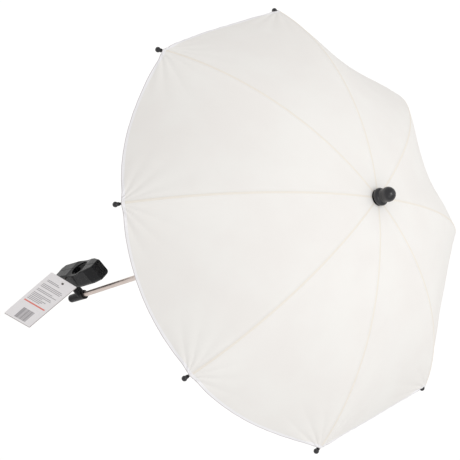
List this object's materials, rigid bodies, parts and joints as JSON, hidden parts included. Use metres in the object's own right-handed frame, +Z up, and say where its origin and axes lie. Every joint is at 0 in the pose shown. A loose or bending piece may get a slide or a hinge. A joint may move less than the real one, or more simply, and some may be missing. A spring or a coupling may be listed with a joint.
{
  "type": "pram parasol",
  "caption": "Folding pram parasol: a domed cloth canopy on curved ribs and stretchers, a metal pole with ball finial, and a swivelling clamp for a pram tube.",
  "frame": {"origin": "centre of the clamp's eye, on the pram tube's axis", "axes": "+Z up the pole to the finial, +X along the clamped tube away from the pole, +Y to the fixed jaw's side"},
  "size_m": [0.7084, 0.7084, 0.8606],
  "materials": {
    "black_plastic": "satin moulded",
    "finial_plastic": "satin moulded",
    "pad_rubber": "matte",
    "zinc_steel": "plated",
    "nickel_pole": "polished nickel",
    "rib_steel": "black lacquered steel channel",
    "canopy_cloth": "woven off-white cloth",
    "tag_card": "coated card",
    "clear_pin": "moulded nylon"
  },
  "bodies": {
    "clamp": {"clamp_fixed_jaw": "black_plastic", "fixed_jaw_pad": "pad_rubber", "screw_nut": "zinc_steel", "guide_rods": "zinc_steel", "swivel_cap": "black_plastic", "tag_pin": "clear_pin"},
    "moving_jaw": {"clamp_moving_jaw": "black_plastic", "moving_jaw_pad": "pad_rubber"},
    "hand_screw": {"clamp_screw": "zinc_steel", "clamp_knob": "black_plastic", "screw_clip": "zinc_steel"},
    "mast": {"pole_socket": "black_plastic", "socket_pin": "zinc_steel", "swivel_washer": "zinc_steel", "swivel_screw": "zinc_steel", "pole_tube": "nickel_pole", "crown": "black_plastic", "crown_wire": "zinc_steel", "canopy": "canopy_cloth", "canopy_washer": "black_plastic", "finial": "finial_plastic"},
    "catch": {"catch_spring": "zinc_steel"},
    "runner": {"runner": "black_plastic", "runner_wire": "zinc_steel"},
    "tag": {"hang_tag": "tag_card"},
    "rib_1": {"rib_1": "rib_steel", "rib_tip_1": "black_plastic", "joint_rivet_1": "zinc_steel"},
    "stretcher_1": {"stretcher_1": "rib_steel"},
    "rib_2": {"rib_2": "rib_steel", "rib_tip_2": "black_plastic", "joint_rivet_2": "zinc_steel"},
    "stretcher_2": {"stretcher_2": "rib_steel"},
    "rib_3": {"rib_3": "rib_steel", "rib_tip_3": "black_plastic", "joint_rivet_3": "zinc_steel"},
    "stretcher_3": {"stretcher_3": "rib_steel"},
    "rib_4": {"rib_4": "rib_steel", "rib_tip_4": "black_plastic", "joint_rivet_4": "zinc_steel"},
    "stretcher_4": {"stretcher_4": "rib_steel"},
    "rib_5": {"rib_5": "rib_steel", "rib_tip_5": "black_plastic", "joint_rivet_5": "zinc_steel"},
    "stretcher_5": {"stretcher_5": "rib_steel"},
    "rib_6": {"rib_6": "rib_steel", "rib_tip_6": "black_plastic", "joint_rivet_6": "zinc_steel"},
    "stretcher_6": {"stretcher_6": "rib_steel"},
    "rib_7": {"rib_7": "rib_steel", "rib_tip_7": "black_plastic", "joint_rivet_7": "zinc_steel"},
    "stretcher_7": {"stretcher_7": "rib_steel"},
    "rib_8": {"rib_8": "rib_steel", "rib_tip_8": "black_plastic", "joint_rivet_8": "zinc_steel"},
    "stretcher_8": {"stretcher_8": "rib_steel"}
  },
  "joints": [
    {"name": "jaw_slide", "type": "slide", "parent": "clamp", "child": "moving_jaw", "axis": [0, -0.9925, 0.1219], "range_m": [-0.0006, 0.008]},
    {"name": "knob_turn", "type": "hinge", "parent": "moving_jaw", "child": "hand_screw", "pos_m": [0, -0.00682, -0.05558], "axis": [0, -0.9925, 0.1219], "range_deg": [-110, 1442]},
    {"name": "pole_tilt", "type": "hinge", "parent": "clamp", "child": "mast", "pos_m": [-0.016, 0.00517, -0.03993], "axis": [1, 0, 0], "range_deg": [-180, 180]},
    {"name": "catch_press", "type": "slide", "parent": "mast", "child": "catch", "axis": [-0.9239, -0.3827, 0], "range_m": [0, 0.0033], "stiffness_N_per_m": 900},
    {"name": "tag_swing", "type": "hinge", "parent": "clamp", "child": "tag", "pos_m": [0.0114, 0.03241, -0.02322], "axis": [-0.3146, 0.8618, 0.3979], "range_deg": [-60, 7]},
    {"name": "canopy_fold", "type": "hinge", "parent": "mast", "child": "rib_1", "pos_m": [-0.027, 0.00517, 0.68898], "axis": [0, 1, 0], "range_deg": [0, 58], "deforming": ["canopy", "catch_spring"]},
    {"name": "stretcher_1_swing", "type": "hinge", "parent": "rib_1", "child": "stretcher_1", "pos_m": [0.15607, 0.00517, 0.64415], "axis": [0, 1, 0], "range_deg": [-116.4, 0.4]},
    {"name": "rib_2_fold", "type": "hinge", "parent": "mast", "child": "rib_2", "pos_m": [-0.02964, 0.01154, 0.68898], "axis": [-0.7071, 0.7071, 0], "range_deg": [-0.2, 58.2]},
    {"name": "stretcher_2_swing", "type": "hinge", "parent": "rib_2", "child": "stretcher_2", "pos_m": [0.09982, 0.14099, 0.64415], "axis": [-0.7071, 0.7071, 0], "range_deg": [-116.4, 0.4]},
    {"name": "rib_3_fold", "type": "hinge", "parent": "mast", "child": "rib_3", "pos_m": [-0.036, 0.01417, 0.68898], "axis": [-1, 0, 0], "range_deg": [-0.2, 58.2]},
    {"name": "stretcher_3_swing", "type": "hinge", "parent": "rib_3", "child": "stretcher_3", "pos_m": [-0.036, 0.19724, 0.64415], "axis": [-1, 0, 0], "range_deg": [-116.4, 0.4]},
    {"name": "rib_4_fold", "type": "hinge", "parent": "mast", "child": "rib_4", "pos_m": [-0.04236, 0.01154, 0.68898], "axis": [-0.7071, -0.7071, 0], "range_deg": [-0.2, 58.2]},
    {"name": "stretcher_4_swing", "type": "hinge", "parent": "rib_4", "child": "stretcher_4", "pos_m": [-0.17182, 0.14099, 0.64415], "axis": [-0.7071, -0.7071, 0], "range_deg": [-116.4, 0.4]},
    {"name": "rib_5_fold", "type": "hinge", "parent": "mast", "child": "rib_5", "pos_m": [-0.045, 0.00517, 0.68898], "axis": [0, -1, 0], "range_deg": [-0.2, 58.2]},
    {"name": "stretcher_5_swing", "type": "hinge", "parent": "rib_5", "child": "stretcher_5", "pos_m": [-0.22807, 0.00517, 0.64415], "axis": [0, -1, 0], "range_deg": [-116.4, 0.4]},
    {"name": "rib_6_fold", "type": "hinge", "parent": "mast", "child": "rib_6", "pos_m": [-0.04236, -0.00119, 0.68898], "axis": [0.7071, -0.7071, 0], "range_deg": [-0.2, 58.2]},
    {"name": "stretcher_6_swing", "type": "hinge", "parent": "rib_6", "child": "stretcher_6", "pos_m": [-0.17182, -0.13064, 0.64415], "axis": [0.7071, -0.7071, 0], "range_deg": [-116.4, 0.4]},
    {"name": "rib_7_fold", "type": "hinge", "parent": "mast", "child": "rib_7", "pos_m": [-0.036, -0.00383, 0.68898], "axis": [1, 0, 0], "range_deg": [-0.2, 58.2]},
    {"name": "stretcher_7_swing", "type": "hinge", "parent": "rib_7", "child": "stretcher_7", "pos_m": [-0.036, -0.1869, 0.64415], "axis": [1, 0, 0], "range_deg": [-116.4, 0.4]},
    {"name": "rib_8_fold", "type": "hinge", "parent": "mast", "child": "rib_8", "pos_m": [-0.02964, -0.00119, 0.68898], "axis": [0.7071, 0.7071, 0], "range_deg": [-0.2, 58.2]},
    {"name": "stretcher_8_swing", "type": "hinge", "parent": "rib_8", "child": "stretcher_8", "pos_m": [0.09982, -0.13064, 0.64415], "axis": [0.7071, 0.7071, 0], "range_deg": [-116.4, 0.4]},
    {"name": "runner_pivot", "type": "hinge", "parent": "stretcher_1", "child": "runner", "pos_m": [-0.027, 0.00517, 0.59933], "axis": [0, 1, 0], "range_deg": [-0.2, 58.2]}
  ],
  "couplings": [
    {"joint": "knob_turn", "follows": "jaw_slide", "rad_per_m": 3141.6},
    {"joint": "stretcher_1_swing", "follows": "canopy_fold", "ratio": -2},
    {"joint": "rib_2_fold", "follows": "canopy_fold", "ratio": 1},
    {"joint": "stretcher_2_swing", "follows": "canopy_fold", "ratio": -2},
    {"joint": "rib_3_fold", "follows": "canopy_fold", "ratio": 1},
    {"joint": "stretcher_3_swing", "follows": "canopy_fold", "ratio": -2},
    {"joint": "rib_4_fold", "follows": "canopy_fold", "ratio": 1},
    {"joint": "stretcher_4_swing", "follows": "canopy_fold", "ratio": -2},
    {"joint": "rib_5_fold", "follows": "canopy_fold", "ratio": 1},
    {"joint": "stretcher_5_swing", "follows": "canopy_fold", "ratio": -2},
    {"joint": "rib_6_fold", "follows": "canopy_fold", "ratio": 1},
    {"joint": "stretcher_6_swing", "follows": "canopy_fold", "ratio": -2},
    {"joint": "rib_7_fold", "follows": "canopy_fold", "ratio": 1},
    {"joint": "stretcher_7_swing", "follows": "canopy_fold", "ratio": -2},
    {"joint": "rib_8_fold", "follows": "canopy_fold", "ratio": 1},
    {"joint": "stretcher_8_swing", "follows": "canopy_fold", "ratio": -2},
    {"joint": "runner_pivot", "follows": "canopy_fold", "ratio": 1}
  ]
}
